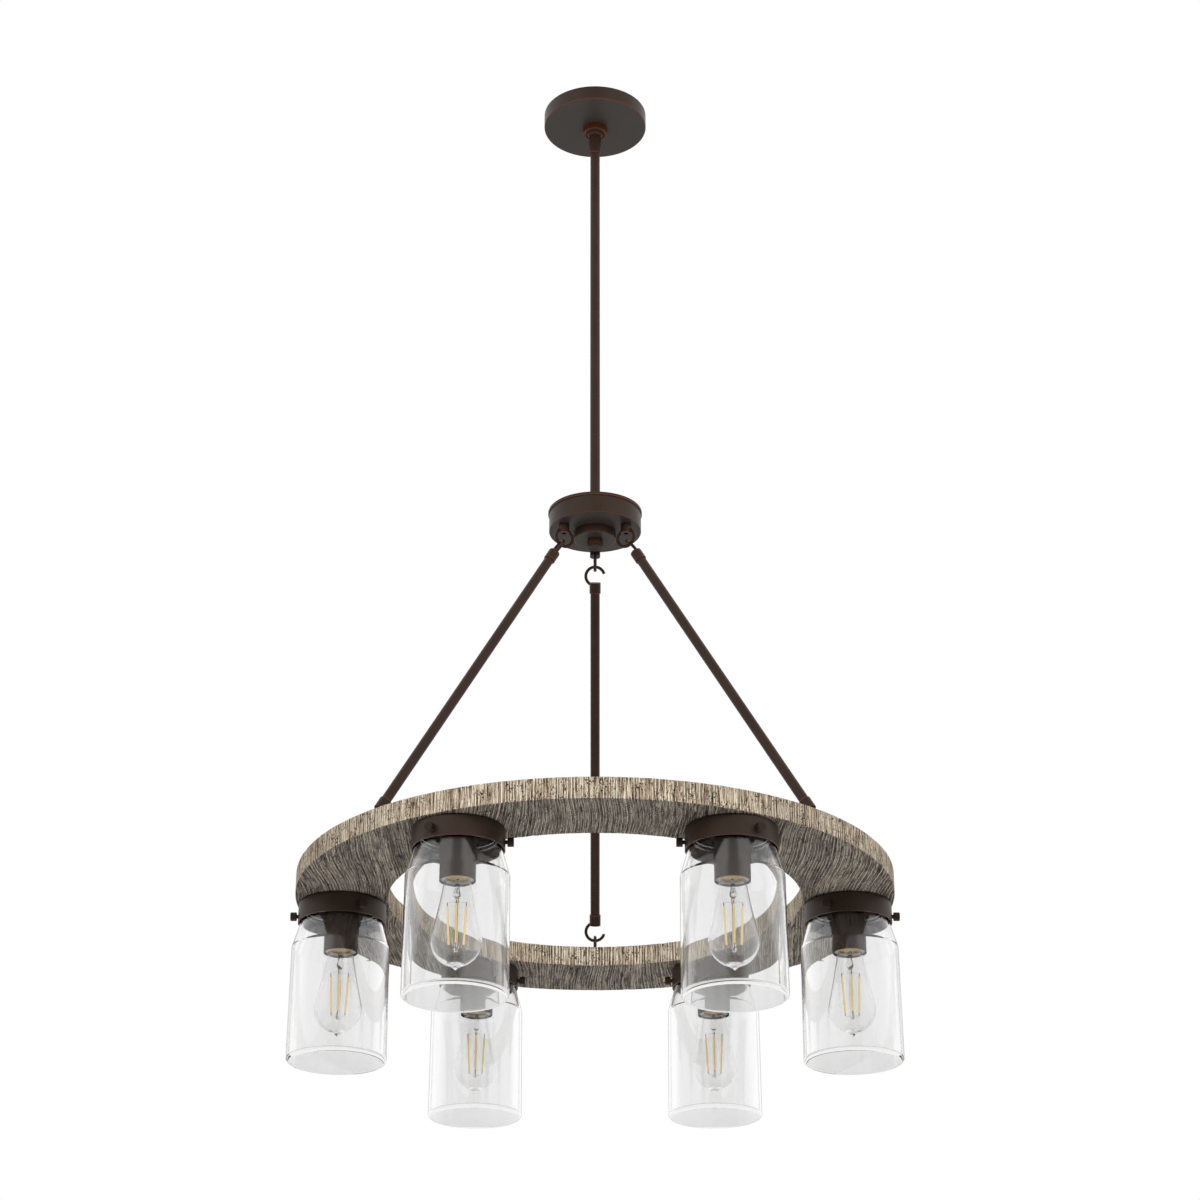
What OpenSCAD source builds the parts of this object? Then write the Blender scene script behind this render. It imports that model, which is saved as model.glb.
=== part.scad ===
// Ring chandelier. A ring with a weathered timber finish hangs on three hooked rods from a hub,
// a downrod and a ball swivel under a ceiling canopy, and carries six glass jar lights.
// Millimetres. The origin is the canopy's centre in the ceiling plane, and +Z is up.

/* [Ceiling canopy] */
// Outside diameter of the canopy
canopy_d = 138.4; // [125:0.2:150]
// Height of the canopy
canopy_h = 20; // [19:0.5:30]
// Sheet thickness of the canopy
canopy_wall = 1.2; // [0.8:0.1:2]
// Radius of the canopy's lower edge
canopy_edge_r = 1; // [0.5:0.1:4]

/* [Crossbar] */
// Length of the crossbar
crossbar_l = 108; // [104:1:116]
// Width of the crossbar
crossbar_w = 20; // [16:1:26]
// Thickness of the crossbar
crossbar_t = 2; // [1.5:0.1:2.4]
// Distance between the centres of the two screw slots
slot_spacing = 88.9; // [80:0.1:92]
// Width of a screw slot
slot_w = 4.8; // [4:0.1:6]
// Length of a screw slot, end to end
slot_l = 12; // [9:0.5:15]
// Diameter of the threaded nipple and of the hub stud
nipple_d = 10.3; // [8:0.1:11]
// Bore of the nipple and of the hub stud
nipple_bore_d = 7; // [5:0.5:7]
// Width across the flats of a nipple nut
nut_af = 15.9; // [14:0.1:20]
// Thickness of a nipple nut
nut_t = 3.2; // [2:0.1:3.4]

/* [Ball swivel] */
// Outside diameter of the swivel cup
cup_d = 32.8; // [31:0.2:38]
// Height of the cup below the canopy
cup_h = 10.5; // [9:0.5:14]
// Wall of the cup inside the canopy
cup_wall = 1.2; // [0.8:0.1:1.4]
// Diameter of the hole in the cup's lip
cup_mouth_d = 25.3; // [24:0.1:26]
// Thickness of the lip
cup_lip_t = 1.5; // [1:0.1:2.5]
// Thickness of the cup's screwed-in cap
cap_t = 3; // [2:0.1:3.2]
// Diameter of the ball
ball_d = 26; // [25:0.2:26]
// Height of the ball's centre over the lip
ball_rise = 5.5; // [4.5:0.1:6]
// Diameter of the ferrule where it leaves the ball
ferrule_top_d = 17; // [16:0.1:19]
// Diameter of the ferrule's lower end
ferrule_low_d = 14.5; // [14:0.1:15.9]
// Drop of the ferrule's lower end below the canopy
ferrule_drop = 42.4; // [38:0.2:60]
// Depth of the downrod's seat in the ferrule
downrod_seat = 16; // [8:1:18]
// Bore for the wires through the ball
wire_bore_d = 8; // [5:0.5:9]

/* [Downrod] */
// Outside diameter of the downrod
downrod_d = 12.7; // [12.7:0.1:13.2]
// Length of the downrod in view, from the ferrule to the hub
downrod_l = 546; // [100:1:1200]
// Length of the downrod inside the hub
downrod_tail = 11; // [8:0.5:13]
// Thickness of the downrod's nut
downrod_nut_t = 4; // [3:0.5:6]
// Width across the flats of the downrod's nut
downrod_nut_af = 19; // [17:0.5:24]

/* [Hub] */
// Outside diameter of the hub body
hub_d = 116.7; // [112:0.1:130]
// Height of the hub, lid included
hub_h = 28.2; // [26:0.2:40]
// Sheet thickness of the hub body
hub_wall = 1.4; // [1:0.1:2]
// Radius of the hub body's lower edge
hub_edge_r = 0.8; // [0.5:0.1:3]
// Height of the lid's skirt
lid_h = 4; // [3:0.1:8]
// Sheet thickness of the lid
lid_wall = 1.25; // [0.8:0.05:1.6]
// Diameter of the cover under the hub
cover_d = 53; // [48:0.5:60]
// Height of the cover
cover_h = 11.3; // [8:0.1:12]
// Sheet thickness of the cover
cover_wall = 1.2; // [0.8:0.1:2]
// Diameter of the knob under the cover
knob_d = 19.4; // [16:0.2:26]
// Height of the knob
knob_h = 11.1; // [8:0.1:16]

/* [Hub posts and eyes] */
// Distance of a post from the hub's axis
post_r = 45; // [42:0.5:48]
// Diameter of a post
post_d = 13.2; // [11:0.1:14]
// Height of a post below the hub
post_h = 12.7; // [10:0.1:15]
// Diameter of the wire hole up through a post
post_bore_d = 5.5; // [4:0.1:6]
// Diameter of a post's threaded stub
stub_d = 9; // [8:0.1:10]
// Thickness of a post's nut
post_nut_t = 3; // [2:0.5:4]
// Depth of an eye's centre below the hub
eye_drop = 18.8; // [17:0.1:20]
// Outside diameter of an eye
eye_d = 27.7; // [26:0.1:30]
// Wire diameter of an eye
eye_wire_d = 4.15; // [3.5:0.05:4.5]

/* [Hanging rods and hooks] */
// Length of a hanging rod over its two ferrules
hang_rod_l = 447.5; // [400:0.5:700]
// Outside diameter of a hanging rod
hang_rod_d = 12; // [10:0.1:12.4]
// Wall of a hanging rod
hang_rod_wall = 1; // [0.8:0.1:1.5]
// Diameter of an end ferrule
end_ferrule_d = 14.4; // [14:0.1:16]
// Length of an end ferrule
end_ferrule_l = 14; // [13:0.5:20]
// Depth of the rod's seat in an end ferrule
end_seat = 7.5; // [5:0.5:7.5]
// Outside diameter of a hook
hook_d = 27.7; // [26:0.1:30]
// Wire diameter of a hook
hook_wire_d = 3.9; // [3.4:0.05:4.2]
// Distance from the ferrule's face to the hook's centre
hook_stand = 8.2; // [7.8:0.1:9]
// Turn of the hook's wire, from the ferrule to its open end
hook_sweep = 255; // [235:5:265]

/* [Ring] */
// Outside diameter of the ring
ring_d = 711; // [600:1:900]
// Width of the ring's band
ring_w = 109.3; // [106:0.1:140]
// Thickness of the ring
ring_t = 25.4; // [22:0.1:40]
// Radius of the ring's worn edges
ring_edge_r = 1; // [0.3:0.1:3]
// Height of a ring eye's centre over the ring
ring_eye_rise = 17.6; // [16.5:0.1:24]
// Diameter of a ring eye's shank
shank_d = 6; // [5:0.1:8]
// Depth of the shank in the ring
shank_l = 18; // [12:0.5:20]
// Diameter of the washer under a ring eye
washer_d = 13; // [11:0.5:18]
// Thickness of that washer
washer_t = 1.6; // [1:0.1:2.5]

/* [Light fitters] */
// Outside diameter of a fitter
fitter_d = 103.8; // [103.8:0.1:106]
// Height of a fitter
fitter_h = 25; // [23:0.1:28]
// Sheet thickness of a fitter
fitter_wall = 1.6; // [1:0.1:1.8]
// Radius of a fitter's upper edge
fitter_edge_r = 3; // [2:0.1:5]
// Depth of the thumbscrews below the ring
screw_z = 15.6; // [14.5:0.1:16.5]
// Diameter of a thumbscrew's shank
screw_d = 4.6; // [4:0.1:5]
// Diameter of a thumbscrew's head
screw_head_d = 10.3; // [8:0.1:12]
// Length of a thumbscrew's head
screw_head_l = 7.1; // [5:0.1:9]
// Length of the shank in view between fitter and head
screw_neck_l = 2.1; // [1.5:0.1:5]
// Diameter of the welded nut inside the fitter
weld_nut_d = 9; // [7:0.5:10]
// Thickness of that nut
weld_nut_t = 1.6; // [1:0.1:2]

/* [Glass jars] */
// Outside diameter of a jar's body
jar_d = 117.1; // [112:0.1:124]
// Depth of a jar's bottom below the ring
jar_bottom = 193; // [180:0.5:230]
// Wall of a jar
jar_wall = 3; // [2:0.1:3.6]
// Thickness of a jar's bottom
jar_base_t = 4.5; // [3:0.1:7]
// Depth where the shoulder meets the body
shoulder_z = 55.5; // [45:0.5:70]
// Radius of the shoulder at the fitter's rim
shoulder_rim_r = 48.9; // [48.4:0.1:49.1]
// Radius of the neck under its bead
neck_r = 46; // [45.5:0.1:46]
// Radius of the neck's bead
bead_r = 49; // [48.5:0.1:49.4]
// Height of the bead
bead_h = 5; // [3:0.1:6]
// Radius of the rounded heel
heel_r = 5; // [3:0.5:8]
// Radius of the corner between the jar's wall and its floor inside
floor_corner_r = 1.5; // [1:0.5:5]
// Taper of the body, at its radius, from the bottom up to the shoulder
body_taper = 0.75; // [0.3:0.05:1.5]
// Radius of the bend between shoulder and body
shoulder_bend_r = 9; // [6:0.5:14]

/* [Sockets and bulbs] */
// Outside diameter of a socket cup
socket_d = 40; // [38.5:0.1:46]
// Depth of the socket's mouth below the ring
socket_z = 61; // [60:0.5:64]
// Sheet thickness of a socket cup
socket_wall = 1.2; // [0.8:0.1:1.5]
// Depth of the porcelain's face inside the mouth
porcelain_inset = 2.2; // [1.5:0.1:4]
// Diameter of the bulb's screw base
base_d = 26.2; // [25:0.1:27]
// Length of the bulb's screw base
base_l = 22; // [20:0.5:24]
// Radius of the bulb's round end
globe_r = 28; // [25:0.5:32]
// Depth of the round end's centre below the ring
globe_z = 129.5; // [120:0.5:135]
// Radius of the bulb's neck below the socket
bulb_neck_r = 15.7; // [15:0.1:17.2]
// Depth of that neck below the socket's mouth
bulb_neck_drop = 5; // [4:0.5:8]
// Slope of the glass at that neck, in degrees
bulb_neck_slope = 8; // [4:0.5:11]
// Glass thickness of a bulb
bulb_wall = 0.9; // [0.6:0.1:1.2]
// Depth of the bulb's tip below the ring
bulb_tip_z = 162; // [161:0.5:166]
// Diameter of a filament
filament_d = 2.4; // [1.8:0.1:3]
// Length of a filament
filament_l = 44.5; // [38:0.5:46]
// Distance of the filaments' upper ends from the bulb's axis
filament_top_r = 10.3; // [8:0.1:11]
// Distance of the filaments' lower ends from the bulb's axis
filament_low_r = 8.2; // [7:0.1:11]
// Diameter of the glass rod between the filaments
stem_d = 3; // [2:0.1:4]
// Length of the glass flare above the rod
stem_flare_l = 24; // [18:0.5:28]
// Widest diameter of that flare
stem_flare_d = 11; // [9:0.1:14]

/* [Fits] */
// Radial gap of a seated or screwed piece
fit_gap = 0.05; // [0.02:0.01:0.1]
// Radial gap of a piece that turns or slides in its bore
run_gap = 0.08; // [0.03:0.01:0.1]
// Gap between loosely hooked or curved pieces
loose_gap = 0.35; // [0.3:0.01:0.4]

/* [Hidden] */

round_fn = 96;
small_fn = 48;
lights = [for (i = [0:5]) 60 * i];
sides = ["rear", "left", "right"];
side_turn = [90, 210, 330];

bronze = [0.26, 0.21, 0.18];
copper = [0.42, 0.23, 0.15];
steel = [0.72, 0.73, 0.75];
timber = [0.62, 0.55, 0.46];
glass = [0.85, 0.9, 0.92, 0.35];
porcelain = [0.93, 0.92, 0.9];
brass = [0.78, 0.62, 0.32];

// heights of the swivel
canopy_low = -canopy_h;
cup_low = canopy_low - cup_h;
lip_top = cup_low + cup_lip_t;
ball_z = lip_top + ball_rise;
ball_flat_depth = 1.5;
cap_gap = 1;
ball_top_cut = ball_d / 2 - ball_flat_depth;
cap_low = ball_z + ball_d / 2 + cap_gap;
cap_top = cap_low + cap_t;
cup_neck_r = cup_d / 2 - 1;
cup_bore_r = cup_neck_r - cup_wall;
nipple_hole_r = nipple_d / 2 + fit_gap;
ferrule_low = canopy_low - ferrule_drop;
ferrule_top = ball_z - sqrt(pow(ball_d / 2, 2) - pow(ferrule_top_d / 2, 2));
downrod_hole_r = downrod_d / 2 + fit_gap;

// heights of the hub
lid_top = ferrule_low - downrod_l;
hub_low = lid_top - hub_h;
lid_r = hub_d / 2 + fit_gap + lid_wall;
cover_low = hub_low - cover_h;
knob_bore = knob_h - 2;
stud_low = cover_low - knob_bore + 0.5;
stub_hole_r = stub_d / 2 + fit_gap;

// hanging rods: eye centres, hooks and the tilt of a rod
eye_r = (eye_d - eye_wire_d) / 2;
hook_r = (hook_d - hook_wire_d) / 2;
band_r = (ring_d - ring_w) / 2;
hook_offset = eye_r + hook_r - (eye_wire_d + hook_wire_d) / 2 - loose_gap;
eye_span = hang_rod_l + 2 * (hook_stand + hook_offset);
eye_reach = band_r - post_r;
eye_fall = sqrt(pow(eye_span, 2) - pow(eye_reach, 2));
rod_tilt = atan2(eye_reach, eye_fall);
hub_eye_z = hub_low - eye_drop;
ring_top = hub_eye_z - eye_fall - ring_eye_rise;
ring_low = ring_top - ring_t;

// jars: the shoulder is a cone through its rim and body radii
jar_r = jar_d / 2;
body_top_r = jar_r - body_taper;
shoulder_slope = (body_top_r - shoulder_rim_r) / (shoulder_z - fitter_h);
neck_low_z = fitter_h - (shoulder_rim_r - neck_r) / shoulder_slope;
bead_low_z = screw_z - screw_d / 2 - loose_gap;
bead_top_z = bead_low_z - bead_h;
screw_tip_r = shoulder_rim_r - (fitter_h - screw_z - screw_d / 2) * shoulder_slope + loose_gap;

// sockets and bulbs
socket_inner_r = socket_d / 2 - socket_wall;
shell_r = base_d / 2 + run_gap;
shell_t = 0.6;
porcelain_low = socket_z - porcelain_inset;
base_low = porcelain_low - 1;
base_top = base_low - base_l;
porcelain_top = base_top - 8;
neck_point = [bulb_neck_r, -(socket_z + bulb_neck_drop)];
globe_centre = [0, -globe_z];
nub_r = 9.5;
nub_z = globe_z + sqrt(pow(globe_r, 2) - pow(nub_r, 2));
globe_touch = 12;
filament_drop = 4.5;
filament_low = globe_z + filament_drop;
filament_top = filament_low - filament_l;
stem_low = globe_z + 11.5;

function unit(v) = v / norm(v);
function short_turn(d) = d > 180 ? d - 360 : d < -180 ? d + 360 : d;

// points of the arc of radius r that rounds corner b between a and c
function corner(a, b, c, r, n) =
    let (
        u = unit(a - b),
        v = unit(c - b),
        half = acos(u * v) / 2,
        p = b + u * r / tan(half),
        q = b + v * r / tan(half),
        m = b + unit(u + v) * r / sin(half),
        from = atan2(p.y - m.y, p.x - m.x),
        sweep = short_turn(atan2(q.y - m.y, q.x - m.x) - from)
    )
    [for (i = [0:n]) m + r * [cos(from + sweep * i / n), sin(from + sweep * i / n)]];

// an outline whose corners are rounded by the radii that go with them
function rounded(pts, radii, n = 5) = [
    for (i = [0:len(pts) - 1])
        for (p = radii[i] == 0 ? [pts[i]] : corner(
            pts[(i + len(pts) - 1) % len(pts)], pts[i], pts[(i + 1) % len(pts)], radii[i], n
        )) p
];

// points of an arc about m, from one angle to another
function arc(m, r, from, to, n) = [
    for (i = [0:n]) m + r * [cos(from + (to - from) * i / n), sin(from + (to - from) * i / n)]
];

module revolve(pts, radii, n = 5) {
    rotate_extrude($fn = round_fn) polygon(rounded(pts, radii, n));
}

module tube(r_out, r_in, low, high) {
    translate([0, 0, low]) difference() {
        cylinder(r = r_out, h = high - low, $fn = small_fn);
        translate([0, 0, -1]) cylinder(r = r_in, h = high - low + 2, $fn = small_fn);
    }
}

module hex_nut(af, t, bore_r, low) {
    translate([0, 0, low]) difference() {
        cylinder(r = af / 2 / cos(30), h = t, $fn = 6);
        translate([0, 0, -1]) cylinder(r = bore_r, h = t + 2, $fn = small_fn);
    }
}

// a sheet cup, open upwards, with a hole in its floor
module sheet_cup(r, low, high, wall, hole_r, edge_r) {
    revolve(
        [[hole_r, low], [r, low], [r, high], [r - wall, high], [r - wall, low + wall],
            [hole_r, low + wall]],
        [0, edge_r, 0, 0, max(edge_r - wall, 0), 0]
    );
}

// the wire of an eye or a hook, in the XY plane, from angle 0 onwards
module wire_ring(r, wire_d, sweep) {
    rotate_extrude(angle = sweep, $fn = round_fn) translate([r, 0]) circle(d = wire_d, $fn = small_fn);
}

// places children at a light's axis, turned outwards, with z = 0 at the ring's lower face
module at_light(i) {
    rotate([0, 0, lights[i]]) translate([band_r, 0, ring_low]) children();
}

// places children at a hub eye's centre, with -Z down along the hanging rod
module along_rod(k) {
    rotate([0, 0, side_turn[k]]) translate([post_r, 0, hub_eye_z]) rotate([0, -rod_tilt, 0]) children();
}

module crossbar() {
    color(steel) difference() {
        translate([-crossbar_l / 2, -crossbar_w / 2, -crossbar_t]) cube([crossbar_l, crossbar_w, crossbar_t]);
        translate([0, 0, -crossbar_t - 1]) cylinder(r = nipple_hole_r, h = crossbar_t + 2, $fn = small_fn);
        for (s = [-1, 1]) translate([s * slot_spacing / 2, 0, -crossbar_t - 1]) screw_slot(crossbar_t + 2);
    }
}

module screw_slot(h) {
    run = slot_l - slot_w;
    translate([-run / 2, -slot_w / 2, 0]) cube([run, slot_w, h]);
    for (s = [-1, 1]) translate([s * run / 2, 0, 0]) cylinder(d = slot_w, h = h, $fn = small_fn);
}

module canopy_nipple() {
    color(steel) tube(nipple_d / 2, nipple_bore_d / 2, cap_low, -0.5);
}

module canopy_nut() {
    color(steel) hex_nut(nut_af, nut_t, nipple_hole_r, -crossbar_t - nut_t);
}

module canopy() {
    color(bronze) sheet_cup(canopy_d / 2, canopy_low, 0, canopy_wall, cup_neck_r + fit_gap, canopy_edge_r);
}

module swivel_cup() {
    mouth_r = cup_mouth_d / 2;
    color(copper) revolve(
        [[mouth_r, cup_low], [cup_d / 2, cup_low], [cup_d / 2, canopy_low], [cup_neck_r, canopy_low],
            [cup_neck_r, cap_top], [cup_bore_r, cap_top], [cup_bore_r, lip_top], [mouth_r, lip_top]],
        [0.4, 0.6, 0, 0, 0, 0, 0, 0]
    );
}

module swivel_cap() {
    color(steel) tube(cup_bore_r - fit_gap, nipple_hole_r, cap_low, cap_top);
}

module swivel_seat() {
    color(brass) difference() {
        translate([0, 0, lip_top + run_gap])
            cylinder(r = cup_bore_r - run_gap, h = ball_rise - run_gap, $fn = round_fn);
        translate([0, 0, ball_z]) sphere(d = ball_d + 2 * run_gap, $fn = round_fn);
    }
}

module swivel_ball() {
    seat_top = ferrule_low + downrod_seat;
    color(bronze) difference() {
        union() {
            translate([0, 0, ball_z]) sphere(d = ball_d, $fn = round_fn);
            translate([0, 0, ferrule_low]) cylinder(
                h = ferrule_top - ferrule_low, r1 = ferrule_low_d / 2, r2 = ferrule_top_d / 2, $fn = round_fn
            );
        }
        translate([0, 0, ball_z + ball_top_cut]) cylinder(r = ball_d, h = ball_d, $fn = round_fn);
        translate([0, 0, seat_top - 1]) cylinder(d = wire_bore_d, h = ball_z + ball_d - seat_top, $fn = small_fn);
        translate([0, 0, ferrule_low - 1]) cylinder(r = downrod_hole_r, h = downrod_seat + 1, $fn = small_fn);
    }
}

module downrod() {
    color(bronze) tube(downrod_d / 2, nipple_hole_r, lid_top - downrod_tail, ferrule_low + downrod_seat);
}

module downrod_nut() {
    color(steel) hex_nut(downrod_nut_af, downrod_nut_t, downrod_hole_r, lid_top - lid_wall - downrod_nut_t);
}

module hub_lid() {
    color(bronze) revolve(
        [[downrod_hole_r, lid_top], [downrod_hole_r, lid_top - lid_wall], [lid_r - lid_wall, lid_top - lid_wall],
            [lid_r - lid_wall, lid_top - lid_h], [lid_r, lid_top - lid_h], [lid_r, lid_top]],
        [0, 0, 0, 0, 0.3, 0.8]
    );
}

module hub_body() {
    color(bronze) difference() {
        sheet_cup(hub_d / 2, hub_low, lid_top - lid_wall, hub_wall, nipple_hole_r, hub_edge_r);
        for (turn = side_turn) rotate([0, 0, turn]) translate([post_r, 0, hub_low - 1])
            cylinder(r = stub_hole_r, h = hub_wall + 2, $fn = small_fn);
    }
}

module hub_stud() {
    color(steel) tube(nipple_d / 2, nipple_bore_d / 2, stud_low, lid_top);
}

module hub_stud_nut() {
    color(steel) hex_nut(nut_af, nut_t, nipple_hole_r, hub_low + hub_wall);
}

module hub_cover() {
    color(bronze) sheet_cup(cover_d / 2, cover_low, hub_low, cover_wall, nipple_hole_r, 1);
}

module hub_knob() {
    color(copper) difference() {
        revolve(
            [[0, cover_low - knob_h], [knob_d / 2, cover_low - knob_h], [knob_d / 2, cover_low], [0, cover_low]],
            [0, 0.8, 0.4, 0]
        );
        translate([0, 0, cover_low - knob_bore])
            cylinder(r = nipple_d / 2 + run_gap, h = knob_bore + 1, $fn = small_fn);
    }
}

// a post under the hub, with its threaded stub above and an eye brazed into its lower end
module hub_eye() {
    stub_h = hub_wall + post_nut_t + 1.5;
    difference() {
        union() {
            translate([0, 0, hub_low - post_h]) cylinder(d = post_d, h = post_h, $fn = small_fn);
            translate([0, 0, hub_low - 1]) cylinder(d = stub_d, h = stub_h + 1, $fn = small_fn);
            translate([0, 0, hub_eye_z]) rotate([90, 0, 0]) wire_ring(eye_r, eye_wire_d, 360);
        }
        translate([0, 0, hub_low - post_h - 1])
            cylinder(d = post_bore_d, h = post_h + stub_h + 2, $fn = small_fn);
    }
}

module hub_eyes() {
    color(bronze) for (turn = side_turn) rotate([0, 0, turn]) translate([post_r, 0, 0]) hub_eye();
}

module hub_eye_nuts() {
    color(steel) for (turn = side_turn) rotate([0, 0, turn]) translate([post_r, 0, 0])
        hex_nut(stub_d + 5, post_nut_t, stub_hole_r, hub_low + hub_wall);
}

module hanging_rod(k) {
    face = hook_offset + hook_stand;
    color(bronze) along_rod(k) mirror([0, 0, 1])
        tube(
            hang_rod_d / 2, hang_rod_d / 2 - hang_rod_wall, face + end_ferrule_l - end_seat,
            eye_span - face - end_ferrule_l + end_seat
        );
}

// a ferrule and its hook, with the hook's centre at the origin and the rod below
module end_hook() {
    difference() {
        union() {
            translate([0, 0, -hook_stand - end_ferrule_l])
                cylinder(d = end_ferrule_d, h = end_ferrule_l, $fn = small_fn);
            rotate([90, 0, 90]) rotate([0, 0, -90]) wire_ring(hook_r, hook_wire_d, hook_sweep);
        }
        translate([0, 0, -hook_stand - end_ferrule_l - 1])
            cylinder(d = hang_rod_d + 2 * fit_gap, h = end_seat + 1, $fn = small_fn);
    }
}

module hooks(k) {
    color(bronze) along_rod(k) {
        translate([0, 0, -hook_offset]) end_hook();
        translate([0, 0, hook_offset - eye_span]) mirror([0, 0, 1]) end_hook();
    }
}

module ring() {
    color(timber) difference() {
        revolve(
            [[ring_d / 2, ring_low], [ring_d / 2, ring_top], [ring_d / 2 - ring_w, ring_top],
                [ring_d / 2 - ring_w, ring_low]],
            [ring_edge_r, ring_edge_r, ring_edge_r, ring_edge_r]
        );
        for (turn = side_turn) rotate([0, 0, turn]) translate([band_r, 0, ring_top - shank_l])
            cylinder(d = shank_d + 2 * fit_gap, h = shank_l + 1, $fn = small_fn);
        for (i = [0:5]) at_light(i) translate([0, 0, -1])
            cylinder(r = nipple_hole_r, h = ring_t / 2 + 1, $fn = small_fn);
    }
}

// an eye bolt with its washer, seated on the ring
module ring_eye() {
    translate([0, 0, ring_top + ring_eye_rise]) rotate([90, 0, 0]) wire_ring(eye_r, eye_wire_d, 360);
    translate([0, 0, ring_top - shank_l]) cylinder(
        d = shank_d, h = shank_l + ring_eye_rise - eye_r, $fn = small_fn
    );
    translate([0, 0, ring_top]) cylinder(d = washer_d, h = washer_t, $fn = small_fn);
}

module ring_eyes() {
    color(bronze) for (turn = side_turn) rotate([0, 0, turn]) translate([band_r, 0, 0]) ring_eye();
}

// the thumbscrew that points outwards from a light's axis
module thumbscrew() {
    head = fitter_d / 2 + screw_neck_l;
    translate([screw_tip_r, 0, -screw_z]) rotate([0, 90, 0])
        cylinder(d = screw_d, h = head - screw_tip_r + 1, $fn = small_fn);
    translate([head, 0, -screw_z]) rotate([0, 90, 0]) revolve(
        [[0, 0], [screw_head_d / 2, 0], [screw_head_d / 2, screw_head_l], [0, screw_head_l]], [0, 0.5, 0.5, 0], 3
    );
}

module outer_thumbscrew(i) {
    color(bronze) at_light(i) thumbscrew();
}

module side_thumbscrews() {
    color(bronze) for (i = [0:5]) at_light(i) for (turn = [-120, 120]) rotate([0, 0, turn]) thumbscrew();
}

module fitter(i) {
    inner_r = fitter_d / 2 - fitter_wall;
    color(bronze) at_light(i) difference() {
        union() {
            mirror([0, 0, 1])
                sheet_cup(fitter_d / 2, 0, fitter_h, fitter_wall, nipple_hole_r, fitter_edge_r);
            for (turn = [0, 120, 240]) rotate([0, 0, turn]) translate([inner_r - weld_nut_t, 0, -screw_z])
                rotate([0, 90, 0]) cylinder(d = weld_nut_d, h = weld_nut_t + fitter_wall / 2, $fn = small_fn);
        }
        for (turn = [0, 120, 240]) rotate([0, 0, turn]) translate([inner_r / 2, 0, -screw_z])
            rotate([0, 90, 0]) cylinder(r = screw_d / 2 + run_gap, h = fitter_d / 2, $fn = small_fn);
    }
}

module jar(i) {
    inner_r = jar_r - jar_wall;
    color(glass) at_light(i) revolve(
        [[0, -jar_bottom], [jar_r, -jar_bottom], [body_top_r, -shoulder_z], [neck_r, -neck_low_z],
            [neck_r, -bead_low_z], [bead_r, -bead_low_z], [bead_r, -bead_top_z],
            [neck_r - jar_wall, -bead_top_z], [neck_r - jar_wall, -neck_low_z - 1],
            [body_top_r - jar_wall, -shoulder_z - 1], [inner_r, -jar_bottom + jar_base_t],
            [0, -jar_bottom + jar_base_t]],
        [0, heel_r, shoulder_bend_r, 0.8, 0.6, 1.2, 1.4, 1.4, 3, shoulder_bend_r - jar_wall,
            floor_corner_r, 0]
    );
}

module socket(i) {
    top = fitter_wall;
    color(bronze) at_light(i) difference() {
        union() {
            mirror([0, 0, 1])
                sheet_cup(socket_d / 2, top, socket_z, socket_wall, nipple_bore_d / 2, 1);
            translate([0, 0, -top - socket_wall])
                cylinder(d = nipple_d, h = top + socket_wall + ring_t / 2 - 1, $fn = small_fn);
        }
        translate([0, 0, -top - socket_wall - 1])
            cylinder(d = nipple_bore_d, h = ring_t + top + 2, $fn = small_fn);
    }
}

module socket_insulators() {
    color(porcelain) for (i = [0:5]) at_light(i) difference() {
        translate([0, 0, -porcelain_low])
            cylinder(r = socket_inner_r - fit_gap, h = porcelain_low - porcelain_top, $fn = small_fn);
        translate([0, 0, -porcelain_low - 1])
            cylinder(r = shell_r + shell_t + fit_gap, h = porcelain_low - base_top + 5, $fn = small_fn);
    }
}

module socket_shells() {
    color(brass) for (i = [0:5]) at_light(i)
        tube(shell_r + shell_t, shell_r, -base_low, -base_top + 4);
}

// points of a smooth curve from p, where it runs along u, to q, where it runs along v
function sweep_curve(p, u, q, v, n) =
    let (reach = norm(q - p))
    [for (i = [0:n - 1])
        let (t = i / n, back = 1 - t)
        p * back * back * (1 + 2 * t) + q * t * t * (3 - 2 * t) + u * reach * t * back * back
            - v * reach * t * t * back
    ];

function along_fall(slope) = [sin(slope), -cos(slope)];

function bulb_side(in) =
    let (r = globe_r - in)
    sweep_curve(
        neck_point - [in, 0], along_fall(bulb_neck_slope),
        globe_centre + r * [cos(globe_touch), sin(globe_touch)], along_fall(globe_touch), 10
    );

module bulb_envelope() {
    low = -atan2(nub_z - globe_z, nub_r);
    flare = [base_d / 2 - 0.1, -base_low];
    outer = concat([flare], bulb_side(0), arc(globe_centre, globe_r, globe_touch, low, 14));
    inner = concat([flare - [bulb_wall, 0]], bulb_side(bulb_wall),
        arc(globe_centre, globe_r - bulb_wall, globe_touch, low, 14));
    tip = [[nub_r - 1.5, -nub_z - 1.2], [3, -bulb_tip_z + 1.6], [1.2, -bulb_tip_z], [0, -bulb_tip_z]];
    roof = [[0, -nub_z + bulb_wall + 0.6], [nub_r - 1, -nub_z + bulb_wall + 0.6]];
    back = [for (k = [len(inner) - 1:-1:0]) inner[k]];
    rotate_extrude($fn = round_fn) polygon(concat(outer, tip, roof, back));
}

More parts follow.
